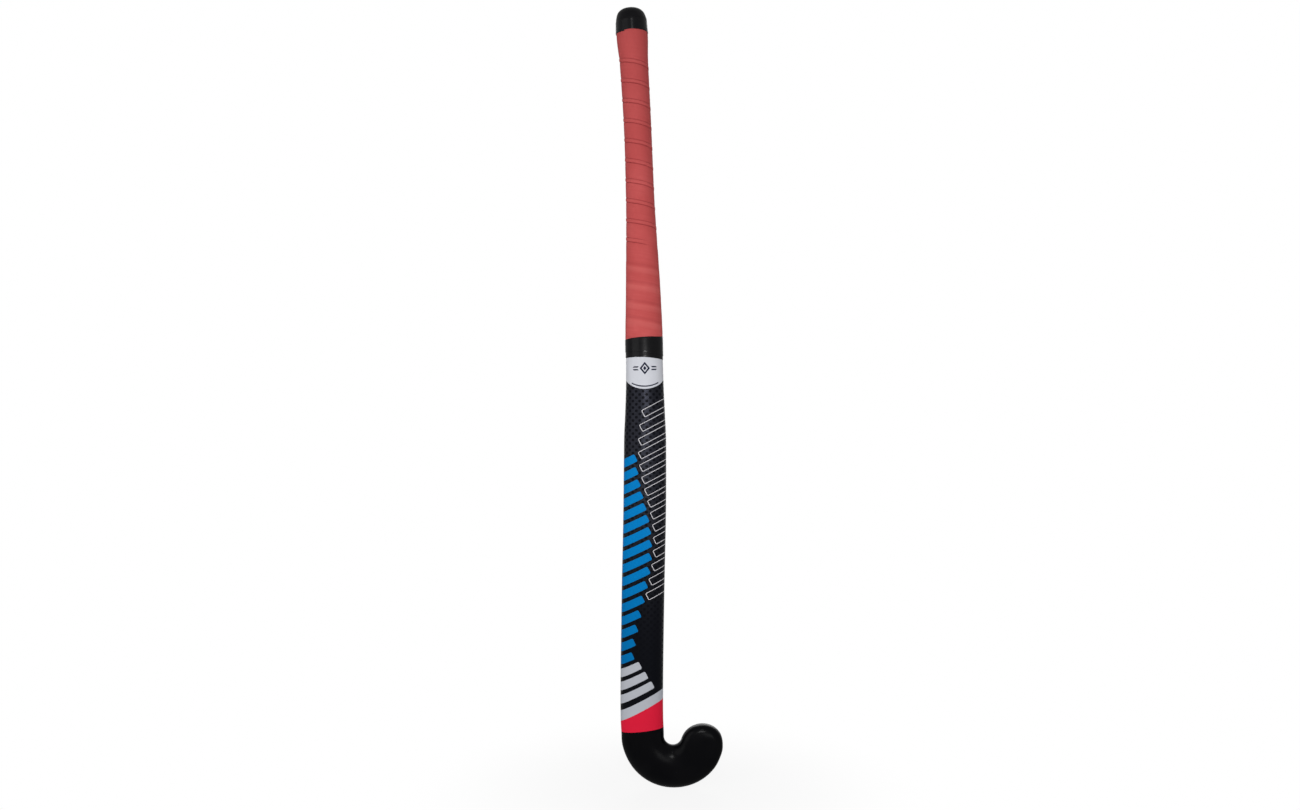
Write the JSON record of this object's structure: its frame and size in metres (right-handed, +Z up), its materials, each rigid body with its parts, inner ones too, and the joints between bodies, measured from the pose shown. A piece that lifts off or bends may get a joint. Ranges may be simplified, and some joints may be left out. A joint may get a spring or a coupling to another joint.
{
  "type": "street hockey stick",
  "caption": "Field-style street hockey stick with a J-shaped hook head, flat playing face, bowed printed shaft and spirally wound cushion grip.",
  "frame": {"origin": "middle of the hand grip: half way up the wound grip, on the axis of the stick", "axes": "+Z up the stick to the butt, +X from the shaft to the toe of the hook, +Y out of the flat playing face"},
  "size_m": [0.1191, 0.043, 0.8634],
  "materials": {
    "black_lacquer": "satin black lacquer over laminated wood",
    "cane_wood": "bare wood",
    "damping_rubber": "plain black rubber",
    "glass_fibre": "glass fibre in resin",
    "printed_film": "navy weave print with blue, silver and red bands under clear lacquer",
    "red_cushion": "soft matt coral red cushion tape",
    "finishing_tape": "satin black vinyl tape",
    "cap_rubber": "satin black rubber"
  },
  "bodies": {
    "root": {"head": "black_lacquer", "handle_core": "cane_wood", "rubber_strip_back": "damping_rubber", "rubber_strip_face": "damping_rubber", "glass_sleeve": "glass_fibre", "print_film": "printed_film", "grip_wrap": "red_cushion", "lower_tape": "finishing_tape", "upper_tape": "finishing_tape", "end_cap": "cap_rubber"}
  },
  "joints": []
}
